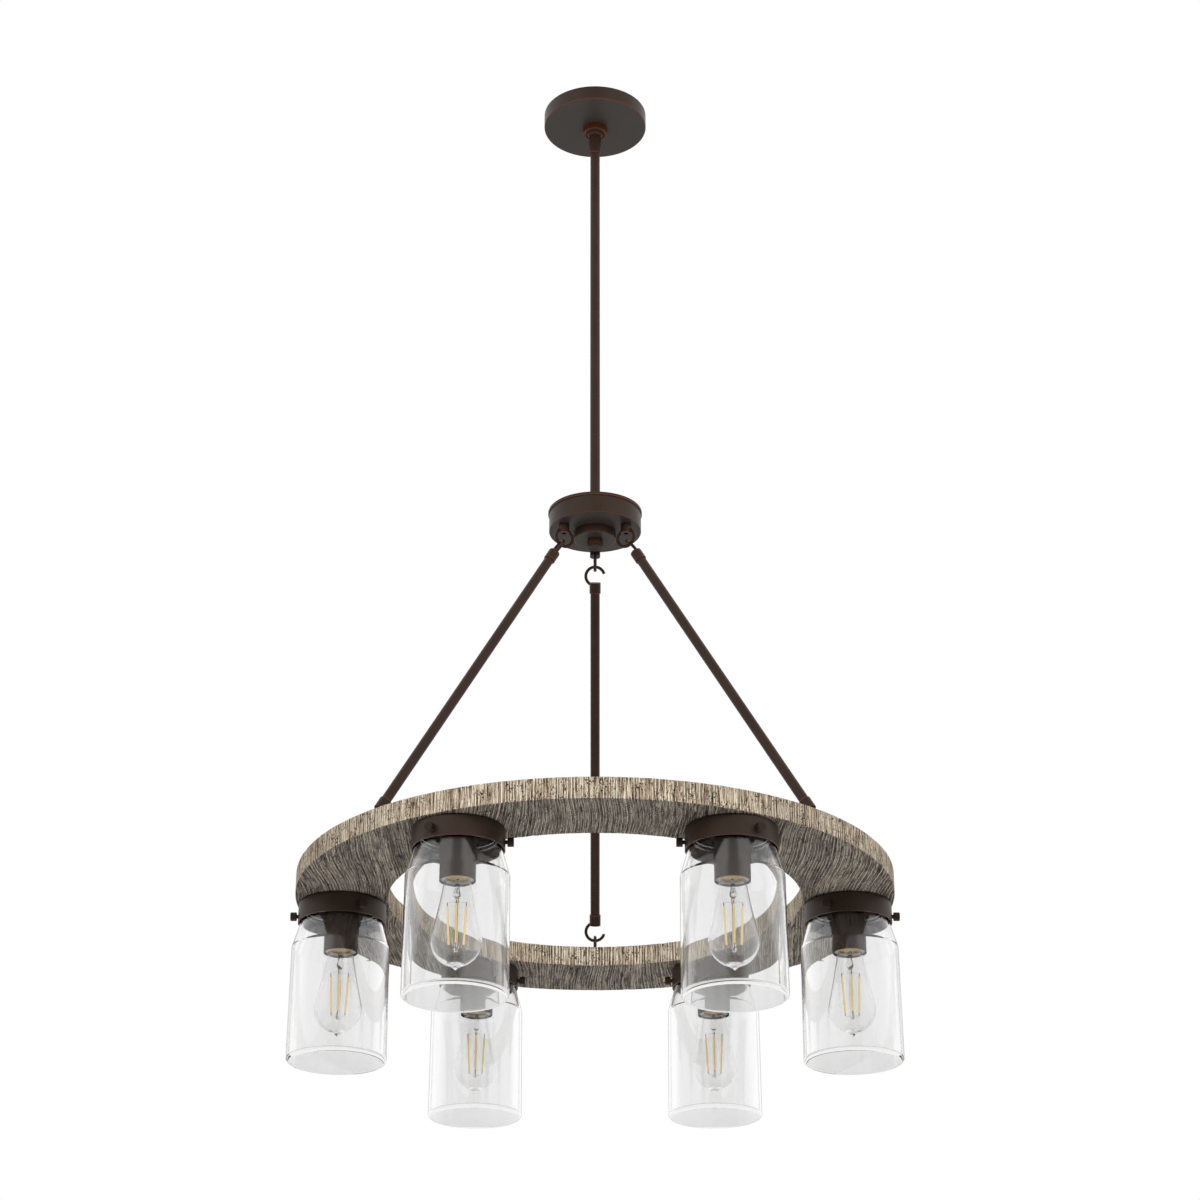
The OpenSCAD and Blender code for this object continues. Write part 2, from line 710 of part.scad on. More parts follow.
module filaments() {
    tilt = atan2(filament_top_r - filament_low_r, filament_l);
    for (turn = [0, 90, 180, 270]) rotate([0, 0, turn]) {
        translate([filament_low_r, 0, -filament_low]) rotate([0, tilt, 0]) translate([0, 0, -1.5]) {
            cylinder(d = filament_d, h = filament_l + 3, $fn = 24);
        }
        translate([0, 0, -filament_low]) rotate([0, 90, 0]) cylinder(d = 0.8, h = filament_low_r, $fn = 16);
        translate([0, 0, -filament_top]) rotate([0, 90, 0]) cylinder(d = 0.8, h = filament_top_r, $fn = 16);
    }
}

module bulb(i) {
    color(glass) at_light(i) {
        bulb_envelope();
        translate([0, 0, -base_low - 0.5]) cylinder(d = base_d, h = base_l + 0.5, $fn = small_fn);
        translate([0, 0, -base_top]) cylinder(d1 = 15, d2 = 9, h = 3, $fn = small_fn);
        translate([0, 0, -base_low - stem_flare_l])
            cylinder(d1 = 2 * stem_d, d2 = stem_flare_d, h = stem_flare_l, $fn = small_fn);
        translate([0, 0, -stem_low]) cylinder(d = stem_d, h = stem_low - base_low, $fn = small_fn);
        rotate([0, 0, -lights[i]]) filaments();
    }
}

crossbar();
canopy_nipple();
canopy_nut();
canopy();
swivel_cup();
swivel_cap();
swivel_seat();
swivel_ball();
downrod();
downrod_nut();
hub_lid();
hub_body();
hub_stud();
hub_stud_nut();
hub_cover();
hub_knob();
hub_eyes();
hub_eye_nuts();
ring();
ring_eyes();
side_thumbscrews();
socket_insulators();
socket_shells();
for (k = [0:2]) {
    hanging_rod(k);
    hooks(k);
}
for (i = [0:5]) {
    fitter(i);
    socket(i);
    jar(i);
    bulb(i);
    outer_thumbscrew(i);
}
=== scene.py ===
"""Ring chandelier with six glass jar lights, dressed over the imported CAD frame.

Metres, +Z up, origin at the canopy's centre in the ceiling plane. Profiles of revolved
pieces are written in millimetres, as in the part's source.
"""
import math

import bpy
import numpy as np
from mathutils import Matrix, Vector


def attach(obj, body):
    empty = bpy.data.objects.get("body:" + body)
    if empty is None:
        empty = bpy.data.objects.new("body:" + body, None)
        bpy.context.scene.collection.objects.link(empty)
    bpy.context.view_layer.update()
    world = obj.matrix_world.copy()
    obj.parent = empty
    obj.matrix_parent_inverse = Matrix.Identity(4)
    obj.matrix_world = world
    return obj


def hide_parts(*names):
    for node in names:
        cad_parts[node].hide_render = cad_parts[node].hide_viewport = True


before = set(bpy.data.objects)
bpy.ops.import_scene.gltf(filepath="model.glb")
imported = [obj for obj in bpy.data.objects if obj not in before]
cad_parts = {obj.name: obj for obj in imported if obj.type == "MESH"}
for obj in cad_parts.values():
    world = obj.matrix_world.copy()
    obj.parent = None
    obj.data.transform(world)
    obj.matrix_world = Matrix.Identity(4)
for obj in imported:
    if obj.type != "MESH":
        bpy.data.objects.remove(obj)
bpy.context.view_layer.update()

MM = 0.001

# sizes of the part's source, in millimetres and degrees. Heights within a light are depths
# below the ring
RING_R, RING_W, RING_T = 355.5, 109.3, 25.4
RING_LOW = -1130.889
BAND_R = RING_R - RING_W / 2.0
LIGHT_ANGLES = [60.0 * i for i in range(6)]

COVER_LOW = -647.9
KNOB_R, KNOB_H = 9.7, 11.1
KNOB_BORE_R, KNOB_BORE = 5.23, 9.1

FITTER_H, SCREW_Z, SCREW_R, LOOSE_GAP = 25.0, 15.6, 2.3, 0.35
JAR_R, JAR_BOTTOM, JAR_WALL, JAR_BASE = 58.55, 193.0, 3.0, 4.5
JAR_TAPER, SHOULDER_Z, SHOULDER_RIM_R = 0.75, 55.5, 48.9
NECK_R, BEAD_R, BEAD_H = 46.0, 49.0, 5.0
HEEL_R, SHOULDER_BEND_R, FLOOR_CORNER_R = 5.0, 9.0, 1.5

GLOBE_R, GLOBE_Z, GLOBE_TOUCH = 28.0, 129.5, 12.0
BULB_NECK_R, BULB_NECK_Z, BULB_NECK_SLOPE = 15.7, 66.0, 8.0
TIP_Z, BASE_LOW = 162.0, 57.8
FILAMENT_R, FILAMENT_TOP, FILAMENT_LOW = 1.2, 89.5, 134.0
FILAMENT_TOP_R, FILAMENT_LOW_R = 10.3, 8.2

# sizes of the scene's own detail, in millimetres
RIDGE_DEPTH, COARSE_DEPTH, CRACK_DEPTH = 0.22, 0.16, 0.45
CHIP_DEPTH, CHIP_REACH = 0.8, 1.6
BULB_WALL, NUB_R = 0.6, 8.2
THREAD_R, THREAD_DEPTH, THREAD_PITCH, THREAD_L = 13.05, 0.75, 3.63, 19.0
STEM_TOP, STEM_LOW = 58.0, 141.6
FILAMENT_TIP_R, PIN_TOP_R, PIN_LOW_R, LEAD_R = 0.15, 0.55, 0.5, 0.13
KNURL_RIDGES, KNURL_DEPTH = 48, 0.32


# camera
def make_camera():
    """The photograph's view, from below and in front."""
    look_up = 24.97
    data = bpy.data.cameras.new("camera")
    data.lens = 80.0
    data.sensor_width = 36.0
    data.sensor_fit = "HORIZONTAL"
    data.shift_x = 0.0041
    data.clip_end = 100.0
    camera = bpy.data.objects.new("camera", data)
    bpy.context.scene.collection.objects.link(camera)
    camera.location = (0.0, -3.033, -2.1435)
    camera.rotation_euler = (math.radians(90.0 + look_up), 0.0, 0.0)
    bpy.context.scene.camera = camera


make_camera()


# node graphs
class Graph:
    """A short way to write the nodes of a material or of the world."""

    def __init__(self, owner, output="OutputMaterial"):
        owner.use_nodes = True
        self.owner = owner
        self.tree = owner.node_tree
        self.tree.nodes.clear()
        self.out = self.tree.nodes.new("ShaderNode" + output)

    def put(self, socket, value):
        if isinstance(value, bpy.types.NodeSocket):
            self.tree.links.new(value, socket)
        elif isinstance(value, (tuple, list)) and len(value) == 3 and socket.type == "RGBA":
            socket.default_value = (*value, 1.0)
        else:
            socket.default_value = value

    def node(self, kind, settings=None, **inputs):
        n = self.tree.nodes.new("ShaderNode" + kind)
        for key, value in (settings or {}).items():
            setattr(n, key, value)
        for key, value in inputs.items():
            self.put(n.inputs[key.replace("_", " ")], value)
        return n

    def numbered(self, kind, settings, inputs):
        """A node whose inputs are told apart by their places only."""
        n = self.node(kind, settings)
        for index, value in inputs.items():
            self.put(n.inputs[index], value)
        return n

    def math(self, operation, a, b=0.0):
        return self.numbered("Math", {"operation": operation}, {0: a, 1: b}).outputs[0]

    def add(self, a, b):
        return self.math("ADD", a, b)

    def sub(self, a, b):
        return self.math("SUBTRACT", a, b)

    def mul(self, a, b):
        return self.math("MULTIPLY", a, b)

    def xyz(self, x, y, z):
        return self.numbered("CombineXYZ", None, {0: x, 1: y, 2: z}).outputs[0]

    def split(self, vector):
        return self.node("SeparateXYZ", Vector=vector).outputs

    def noise(self, vector, scale, detail=2.0, roughness=0.5):
        n = self.node("TexNoise", Vector=vector, Scale=scale, Detail=detail, Roughness=roughness)
        return n.outputs["Fac"]

    def step(self, value, low, high, to_low=0.0, to_high=1.0):
        """A smooth step of value between low and high."""
        n = self.numbered(
            "MapRange",
            {"interpolation_type": "SMOOTHSTEP"},
            {0: value, 1: low, 2: high, 3: to_low, 4: to_high},
        )
        return n.outputs[0]

    def ramp(self, value, stops):
        n = self.node("ValToRGB", Fac=value)
        elements = n.color_ramp.elements
        while len(elements) < len(stops):
            elements.new(0.5)
        for element, (place, colour) in zip(elements, stops):
            element.position = place
            element.color = (*colour, 1.0)
        return n.outputs["Color"]

    def mix(self, factor, a, b):
        """a and b are numbers."""
        return self.numbered("Mix", {"data_type": "FLOAT"}, {0: factor, 2: a, 3: b}).outputs[0]

    def mix_colour(self, factor, a, b):
        return self.numbered("Mix", {"data_type": "RGBA"}, {0: factor, 6: a, 7: b}).outputs[2]

    def mix_shader(self, factor, a, b):
        inputs = {0: factor, 1: a.outputs[0], 2: b.outputs[0]}
        return self.numbered("MixShader", None, inputs)

    def bump(self, height, strength, distance):
        n = self.node("Bump", Height=height, Strength=strength, Distance=distance)
        return n.outputs["Normal"]

    def principled(self, **inputs):
        return self.node("BsdfPrincipled", **inputs)

    def place(self):
        return self.node("TexCoord").outputs["Object"]

    def normal(self):
        return self.node("NewGeometry").outputs["Normal"]

    def finish(self, shader):
        self.put(self.out.inputs["Surface"], shader.outputs[0])
        return self.owner


def material_graph(name):
    return Graph(bpy.data.materials.new(name))


# bronze
def worn_edge(g, width, lower_only):
    """1 along a piece's outer corners, 0 on its faces. lower_only leaves out its upper corners."""
    soft = g.node("Bevel", {"samples": 8}, Radius=width).outputs["Normal"]
    dot = g.numbered("VectorMath", {"operation": "DOT_PRODUCT"}, {0: soft, 1: g.normal()})
    bend = g.sub(1.0, dot.outputs["Value"])
    edge = g.step(bend, 0.012, 0.07)
    if not lower_only:
        return edge
    downwards = g.step(g.split(soft)[2], -0.25, -0.05, 1.0, 0.0)
    return g.mul(edge, downwards)


def bronze_material(
    name, dark, light, copper, roughness,
    wear=0.0, edge_width=0.0021, edge_share=1.0, underside_sheen=0.5, lower_only=False,
):
    """Dark oiled bronze, rubbed to copper along its edges.

    wear adds rubbed patches on the faces; the underside sheen share paints a light grey sheen on
    the undersides, standing in for the reflection of the lit floor below.
    """
    # painted sheen: the light grey that downward faces are mixed towards, for the reflection of
    # the lit floor
    underside_sheen_grey = (0.098, 0.085, 0.078)
    g = material_graph(name)
    place = g.place()
    cloud = g.noise(place, scale=22.0, detail=4.0, roughness=0.6)
    fine = g.noise(place, scale=900.0, detail=2.0, roughness=0.6)
    streak = g.noise(place, scale=120.0, detail=3.0, roughness=0.7)
    rubbed = g.step(streak, 0.25, 0.50, 0.55 * edge_share, edge_share)
    edge = g.mul(worn_edge(g, edge_width, lower_only), rubbed)
    patches = g.mul(g.step(cloud, 0.55, 0.75), wear)
    worn = g.math("MINIMUM", g.add(edge, patches), 1.0)
    # painted reflection: faces turned down are greyed, as the lit floor below would show in them
    down = g.mul(g.split(g.normal())[2], -1.0)
    base = g.ramp(cloud, [(0.30, dark), (0.70, light)])
    base = g.mix_colour(g.step(down, 0.55, 0.98, 0.0, underside_sheen), base, underside_sheen_grey)
    shader = g.principled(
        Base_Color=g.mix_colour(worn, base, copper),
        Metallic=g.mul(worn, 0.35),
        Roughness=g.step(fine, 0.2, 0.8, roughness - 0.05, roughness + 0.07),
        Normal=g.bump(fine, 0.10, 0.0002),
    )
    shader.inputs["Specular IOR Level"].default_value = 0.25
    return g.finish(shader)


# timber
RINGS_PER_METRE = 285.0

SIDE_TONES = [
    (0.22, (0.035, 0.019, 0.012)),
    (0.35, (0.13, 0.080, 0.047)),
    (0.44, (0.33, 0.250, 0.178)),
    (0.55, (0.43, 0.342, 0.250)),
    (0.65, (0.74, 0.62, 0.46)),
    (0.76, (0.97, 0.89, 0.71)),
]
# a darker copy of the side tones for the flat faces, top and bottom: painted shade, matched to the
# undersides, which get less light than the rims
SHADED_FLAT_TONES = [
    (0.24, (0.044, 0.039, 0.036)),
    (0.39, (0.146, 0.126, 0.108)),
    (0.51, (0.275, 0.238, 0.200)),
    (0.63, (0.46, 0.40, 0.33)),
    (0.77, (0.80, 0.71, 0.57)),
]
PORE_TONE = (0.020, 0.017, 0.016)


def across_boards(g, x, y, z, level):
    """The distance across the grain: along X on the flat faces, and round the rims.

    level is the size of the normal's upright share. The lines slant slowly over the boards
    and curl in unruly patches of the flat faces.
    """
    on_rim = g.math("LESS_THAN", level, 0.55)
    reach = g.math("SQRT", g.add(g.mul(x, x), g.mul(y, y)))
    outside = g.math("GREATER_THAN", reach, BAND_R * MM)
    rim_r = g.add(g.mul(outside, RING_W * MM), (RING_R - RING_W) * MM)
    arc = g.mul(g.math("ARCTAN2", x, g.mul(y, -1.0)), rim_r)
    straight = g.mix(on_rim, x, arc)
    slant = g.sub(g.noise(g.xyz(g.mul(x, 0.9), g.mul(y, 0.8), 0.0), 6.0, 0.0), 0.5)
    unruly = g.step(g.noise(g.xyz(g.mul(x, 1.5), y, 3.1), 15.0, 1.0), 0.50, 0.64)
    unruly = g.mul(unruly, g.step(level, 0.35, 0.75))
    curl = g.sub(g.noise(g.xyz(x, g.mul(y, 0.35), g.mul(z, 0.35)), 150.0, 1.0), 0.5)
    curl = g.mul(curl, g.add(g.mul(unruly, 0.0024), 0.0002))
    return g.add(g.add(straight, g.mul(slant, 0.048)), curl)


def timber_material():
    """Weathered boards, with the grain along Y on the flat faces and upright round the rims."""
    g = material_graph("weathered_timber")
    x, y, z = g.split(g.place())
    level = g.math("ABSOLUTE", g.split(g.normal())[2])
    across = across_boards(g, x, y, z, level)

    def drawn_out(y_share, z_share, *settings):
        """Noise that is drawn out along the grain."""
        return g.noise(g.xyz(across, g.mul(y, y_share), g.mul(z, z_share)), *settings)

    def swing(share, y_share, z_share, *settings):
        """The same about 0, by a share."""
        return g.mul(g.sub(drawn_out(y_share, z_share, *settings), 0.5), share)

    # growth rings of changing width: a thin pale ridge between two brown furrows
    drift = g.mul(drawn_out(0.05, 0.1, 60.0, 1.0), 2.6)
    turns = g.add(g.mul(across, RINGS_PER_METRE), drift)
    rings = g.math("SINE", g.mul(turns, 2.0 * math.pi))
    ridge = g.step(rings, 0.60, 0.84, 0.0, 0.30)
    furrow = g.mul(g.step(rings, -0.05, 0.25, 0.0, 0.20), g.step(rings, 0.42, 0.60, 1.0, 0.0))
    fade = g.step(drawn_out(0.30, 0.15, 38.0, 2.0), 0.34, 0.58, 0.36, 1.0)
    tone = g.mul(g.sub(ridge, furrow), fade)
    # lines, threads, speckle and slow changes of tone
    tone = g.add(tone, swing(0.54, 0.012, 0.02, 420.0, 1.0, 0.6))
    tone = g.add(tone, swing(0.95, 0.04, 0.06, 950.0, 1.0, 0.7))
    tone = g.add(tone, swing(0.36, 0.5, 0.35, 900.0, 1.0, 0.7))
    tone = g.add(tone, swing(0.14, 0.15, 0.2, 24.0, 1.0))
    tone = g.add(tone, 0.49)

    # open pores stand in chains along the lines, with a few cracks
    crowd = g.step(g.noise(g.xyz(g.mul(x, 1.5), y, g.mul(z, 2.0)), 46.0, 2.0), 0.38, 0.60)
    pores = g.mul(g.step(drawn_out(0.42, 0.50, 860.0, 0.0), 0.60, 0.66), crowd)
    cracks = g.mul(g.step(drawn_out(0.14, 0.4, 240.0, 1.0), 0.68, 0.74), 0.85)
    dark = g.math("MAXIMUM", pores, cracks)

    # painted shade: the flat faces take the darker copy of the tones
    flat = g.step(level, 0.35, 0.75)
    wood = g.mix_colour(flat, g.ramp(tone, SIDE_TONES), g.ramp(tone, SHADED_FLAT_TONES))
    shader = g.principled(
        Base_Color=g.mix_colour(dark, wood, PORE_TONE),
        Roughness=g.step(tone, 0.3, 0.7, 0.85, 0.68),
        Normal=g.bump(g.sub(tone, g.mul(dark, 0.5)), 0.5, 0.0012),
    )
    shader.inputs["Specular IOR Level"].default_value = 0.2
    return g.finish(shader)


# glass
def painted_edge_tint(g, tint):
    """A tint with painted edge light: it clears where thick glass turns away, a painted bright
    band, and is black at its very edge, a painted dark outline.
    """
    clear, black = (1.0, 1.0, 1.0), (0.0, 0.0, 0.0)
    # painted edge light: clear in a band near the silhouette and black at the silhouette itself
    away = g.node("LayerWeight", Blend=0.5).outputs["Facing"]
    stops = [(0.0, tint), (0.25, tint), (0.52, clear), (0.79, clear), (0.87, black)]
    inside = g.node("NewGeometry").outputs["Backfacing"]
    return g.mix_colour(inside, g.ramp(away, stops), clear)


def glass_material(name, level, ior, density=0.0, painted_edges=False):
    """Clear glass that lets lamps through to what it holds. level is the grey of its tint."""
    g = material_graph(name)
    tint = (level, level, level)
    glass = g.principled(
        Base_Color=painted_edge_tint(g, tint) if painted_edges else tint,
        Roughness=0.0,
        IOR=ior,
        Normal=g.bump(g.noise(g.place(), 30.0, 1.0), 0.05, 0.0006),
    )
    glass.inputs["Transmission Weight"].default_value = 1.0
    path = g.node("LightPath").outputs
    # light that is caught between the faces of a wall leaves it after a few turns
    caught = g.math("GREATER_THAN", path["Glossy Depth"], 1.5)
    freed = g.mix_shader(caught, glass, g.node("BsdfTransparent"))
    for_shadows = g.node("BsdfTransparent", Color=(0.97, 0.97, 0.97))
    if density:
        volume = g.node("VolumeAbsorption", Color=(0.50, 0.50, 0.50), Density=density)
        g.put(g.out.inputs["Volume"], volume.outputs[0])
    return g.finish(g.mix_shader(path["Is Shadow Ray"], freed, for_shadows))


# other materials
def metal_material(name, dark, light, roughness, scale, metallic=1.0):
    g = material_graph(name)
    place = g.place()
    cloud = g.noise(place, scale, detail=3.0, roughness=0.6)
    fine = g.noise(place, scale * 30.0)
    shader = g.principled(
        Base_Color=g.ramp(cloud, [(0.3, dark), (0.7, light)]),
        Metallic=metallic,
        Roughness=g.step(fine, 0.2, 0.8, roughness - 0.05, roughness + 0.08),
        Normal=g.bump(fine, 0.08, 0.0001),
    )
    return g.finish(shader)


def porcelain_material():
    g = material_graph("porcelain")
    cloud = g.noise(g.place(), 60.0, 3.0)
    shader = g.principled(
        Base_Color=g.ramp(cloud, [(0.3, (0.88, 0.875, 0.86)), (0.7, (0.93, 0.93, 0.92))]),
        Roughness=g.step(cloud, 0.3, 0.7, 0.18, 0.26),
    )
    return g.finish(shader)


def phosphor_painted_glow_material():
    g = material_graph("filament_phosphor_painted_glow")
    cloud = g.noise(g.place(), 700.0, 2.0)
    shader = g.principled(
        Base_Color=g.ramp(cloud, [(0.3, (0.84, 0.62, 0.22)), (0.7, (0.92, 0.72, 0.32))]),
        Roughness=0.6,
    )
    # painted glow: the filaments shine faintly, though the bulbs are not lit
    shader.inputs["Emission Color"].default_value = (1.0, 0.80, 0.38, 1.0)
    shader.inputs["Emission Strength"].default_value = 0.25
    return g.finish(shader)


BRONZE = bronze_material(
    "oil_rubbed_bronze", (0.031, 0.0165, 0.0095), (0.043, 0.024, 0.0142), (0.22, 0.062, 0.028),
    roughness=0.38, edge_share=0.9, lower_only=True,
)
CANOPY_BRONZE = bronze_material(
    "canopy_bronze", (0.028, 0.0150, 0.0087), (0.039, 0.0218, 0.0130), (0.32, 0.085, 0.038),
    roughness=0.38, edge_width=0.0026, underside_sheen=0.70, lower_only=True,
)
ROD_BRONZE = bronze_material(
    "rod_bronze", (0.0285, 0.0122, 0.0074), (0.0385, 0.0175, 0.0108), (0.22, 0.062, 0.028),
    roughness=0.42, edge_share=0.9, lower_only=True,
)
EYE_BRONZE = bronze_material(
    "eye_bronze", (0.024, 0.010, 0.005), (0.034, 0.014, 0.007), (0.22, 0.058, 0.026),
    roughness=0.40, wear=0.05, edge_width=0.0012, edge_share=0.8, lower_only=True,
)
KNOB_BRONZE = bronze_material(
    "knob_bronze", (0.022, 0.0105, 0.005), (0.033, 0.0165, 0.0075), (0.14, 0.044, 0.022),
    roughness=0.40, edge_width=0.0011, edge_share=0.45, underside_sheen=0.4,
)
COPPER = bronze_material(
    "worn_copper_bronze", (0.024, 0.010, 0.005), (0.034, 0.014, 0.007), (0.22, 0.058, 0.026),
    roughness=0.40, wear=0.10,
)
FITTER_BRONZE = bronze_material(
    "fitter_bronze", (0.0305, 0.0172, 0.0108), (0.041, 0.0248, 0.0162), (0.17, 0.062, 0.036),
    roughness=0.42, edge_width=0.0012, edge_share=0.8,
)
SCREW_BRONZE = bronze_material(
    "screw_bronze", (0.015, 0.0062, 0.003), (0.024, 0.0100, 0.0048), (0.13, 0.044, 0.018),
    roughness=0.50, edge_width=0.0010, edge_share=0.5,
)
COLLAR = bronze_material(
    "copper_collar", (0.060, 0.0155, 0.0033), (0.089, 0.0245, 0.0066), (0.25, 0.070, 0.030),
    roughness=0.40,
)
TIMBER = timber_material()
JAR_GLASS = glass_material("jar_glass", level=0.84, ior=1.60, density=4.0, painted_edges=True)
BULB_GLASS = glass_material("bulb_glass", level=0.98, ior=1.48)
STEEL = metal_material(
    "zinc_steel", (0.42, 0.42, 0.43), (0.56, 0.56, 0.57), roughness=0.34, scale=40.0
)
BRASS = metal_material(
    "brass", (0.84, 0.60, 0.25), (0.94, 0.72, 0.36), roughness=0.36, scale=60.0, metallic=0.55
)
WIRE = metal_material(
    "support_wire", (0.16, 0.15, 0.14), (0.24, 0.23, 0.22), roughness=0.35, scale=90.0
)
PORCELAIN = porcelain_material()
PHOSPHOR_PAINTED_GLOW = phosphor_painted_glow_material()

# the starts of the CAD nodes' names, by look
CAD_LOOK = {
    BRONZE: ["hub_lid", "hub_body", "hub_cover"],
    CANOPY_BRONZE: ["canopy"],
    ROD_BRONZE: ["downrod", "rod_"],
    EYE_BRONZE: ["hub_eyes"],
    KNOB_BRONZE: ["hub_knob"],
    COPPER: ["swivel_ball", "swivel_seat", "hooks_", "ring_eyes"],
    FITTER_BRONZE: ["fitter_", "socket_"],
    SCREW_BRONZE: ["thumbscrew_", "side_thumbscrews"],
    COLLAR: ["swivel_cup"],
    STEEL: [
        "crossbar", "canopy_nipple", "canopy_nut", "swivel_cap",
        "downrod_nut", "hub_stud", "hub_eye_nuts",
    ],
    BRASS: ["socket_shells"],
    PORCELAIN: ["socket_insulators"],
    TIMBER: ["ring"],
    JAR_GLASS: ["jar_"],
    BULB_GLASS: ["bulb_"],
}


def dress_cad_nodes():
    """Each CAD node takes the look with the longest start of its name."""
    looks = [(word, look) for look, words in CAD_LOOK.items() for word in words]
    looks.sort(key=lambda pair: -len(pair[0]))
    for name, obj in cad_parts.items():
        look = next(look for word, look in looks if name.startswith(word))
        obj.data.materials.clear()
        obj.data.materials.append(look)


dress_cad_nodes()


# mesh helpers
def mesh_object(name, points, faces, look, sharp=None):
    """Points in millimetres. sharp is the angle, in degrees, from which an edge stays crisp."""
    mesh = bpy.data.meshes.new(name)
    mesh.from_pydata((np.asarray(points, float) * MM).tolist(), [], faces)
    mesh.shade_smooth()
    if sharp is not None:
        mesh.set_sharp_from_angle(angle=math.radians(sharp))
    mesh.materials.append(look)
    obj = bpy.data.objects.new(name, mesh)
    bpy.context.scene.collection.objects.link(obj)
    return obj


def grid_faces(rows, columns, close_rows):
    """Quads of a grid whose columns run round, with rows as rings."""
    faces = []
    for r in range(rows if close_rows else rows - 1):
        low, high = r * columns, (r + 1) % rows * columns
        for c in range(columns):
            d = (c + 1) % columns
            faces.append((low + c, low + d, high + d, high + c))
    return faces


def lathe(profile, segments):
    """Points and faces of a (radius, height) profile turned about Z.

    A profile that ends on the axis closes there.
    """
    turn = np.arange(segments) * 2.0 * math.pi / segments
    rows, points, poles = 0, [], {}
    for index, (radius, height) in enumerate(profile):
        if radius < 1e-6:
            poles[index] = height
            continue
        rows += 1
        points.extend(zip(radius * np.cos(turn), radius * np.sin(turn), np.full(segments, height)))
    faces = grid_faces(rows, segments, False)
    for index, height in poles.items():
        pole = len(points)
        points.append((0.0, 0.0, height))
        start = 0 if index == 0 else (rows - 1) * segments
        for c in range(segments):
            d = (c + 1) % segments
            pair = (start + d, start + c) if index == 0 else (start + c, start + d)
            faces.append((*pair, pole))
    # a profile that runs upwards on its outer side turns its faces outwards
    rise = sum(
        (a[0] ** 2 + a[0] * b[0] + b[0] ** 2) * (b[1] - a[1])
        for a, b in zip(profile, [*profile[1:], profile[0]])
    )
    return points, faces if rise > 0 else [face[::-1] for face in faces]


def joined(*parts):
    """Several (points, faces) lists as one."""
    points, faces = [], []
    for some_points, some_faces in parts:
        start = len(points)
        points.extend(some_points)
        faces.extend(tuple(i + start for i in face) for face in some_faces)
    return points, faces


def swept(path, radii, sides):
    """A closed round rod along path, with a radius at each point."""
    path = [Vector(p) for p in path]
    points = []
    side = None
    for i, p in enumerate(path):
        ahead = (path[min(i + 1, len(path) - 1)] - path[max(i - 1, 0)]).normalized()
        if side is None:
            side = ahead.orthogonal().normalized()
        side = (side - ahead * side.dot(ahead)).normalized()
        other = ahead.cross(side)
        for k in range(sides):
            a = 2.0 * math.pi * k / sides
            points.append(tuple(p + (side * math.cos(a) + other * math.sin(a)) * radii[i]))
    faces = grid_faces(len(path), sides, False)
    faces.append(tuple(reversed(range(sides))))
    last = (len(path) - 1) * sides
    faces.append(tuple(range(last, last + sides)))
    return points, faces


def wire(path, radius, sides):
    return swept(path, [radius] * len(path), sides)


def corner_arc(a, b, c, radius, steps):
    """Points of the arc that rounds corner b between a and c."""
    a, b, c = (np.asarray(p, float) for p in (a, b, c))
    u = (a - b) / np.linalg.norm(a - b)
    v = (c - b) / np.linalg.norm(c - b)
    half = math.acos(float(np.clip(u @ v, -1.0, 1.0))) / 2.0
    middle = b + (u + v) / np.linalg.norm(u + v) * radius / math.sin(half)
    start = b + u * radius / math.tan(half) - middle
    end = b + v * radius / math.tan(half) - middle
    first = math.atan2(start[1], start[0])
    sweep = math.atan2(end[1], end[0]) - first
    sweep = (sweep + math.pi) % (2.0 * math.pi) - math.pi
    angles = first + sweep * np.arange(steps + 1) / steps
    return [(middle[0] + radius * math.cos(t), middle[1] + radius * math.sin(t)) for t in angles]


def rounded(corners, radii, steps):
    """The outline through corners, each rounded by its radius."""
    profile = []
    for i, (point, radius) in enumerate(zip(corners, radii)):
        if radius:
            after = corners[(i + 1) % len(corners)]
            profile.extend(corner_arc(corners[i - 1], point, after, radius, steps))
        else:
            profile.append(point)
    return profile


def smooth_curve(points, steps):
    """A Catmull-Rom curve through the points."""
    p = np.asarray(points, float)
    p = np.vstack([2 * p[0] - p[1], p, 2 * p[-1] - p[-2]])
    curve = []
    for before, a, b, after in zip(p, p[1:], p[2:], p[3:]):
        for t in np.arange(steps) / steps:
            square = (2 * before - 5 * a + 4 * b - after) * t**2
            cube = (3 * a - before - 3 * b + after) * t**3
            curve.append(0.5 * (2 * a + (b - before) * t + square + cube))
    curve.append(p[-2])
    return [tuple(q) for q in curve]


def light_place(degrees):
    turn = math.radians(degrees)
    return Vector((BAND_R * math.cos(turn), BAND_R * math.sin(turn), RING_LOW)) * MM


def at_lights(name, part, look, body, sharp):
    """One shared mesh at each of the six lights, each copy attached to the body that body names,
    with the light's number filled in.
    """
    points, faces = part
    first = mesh_object(f"{name}_1", points, faces, look, sharp)
    made = []
    for i, degrees in enumerate(LIGHT_ANGLES):
        obj = first
        if i:
            obj = bpy.data.objects.new(f"{name}_{i + 1}", first.data)
            bpy.context.scene.collection.objects.link(obj)
        obj.location = light_place(degrees)
        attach(obj, body.format(i + 1))
        made.append(obj)
    return made


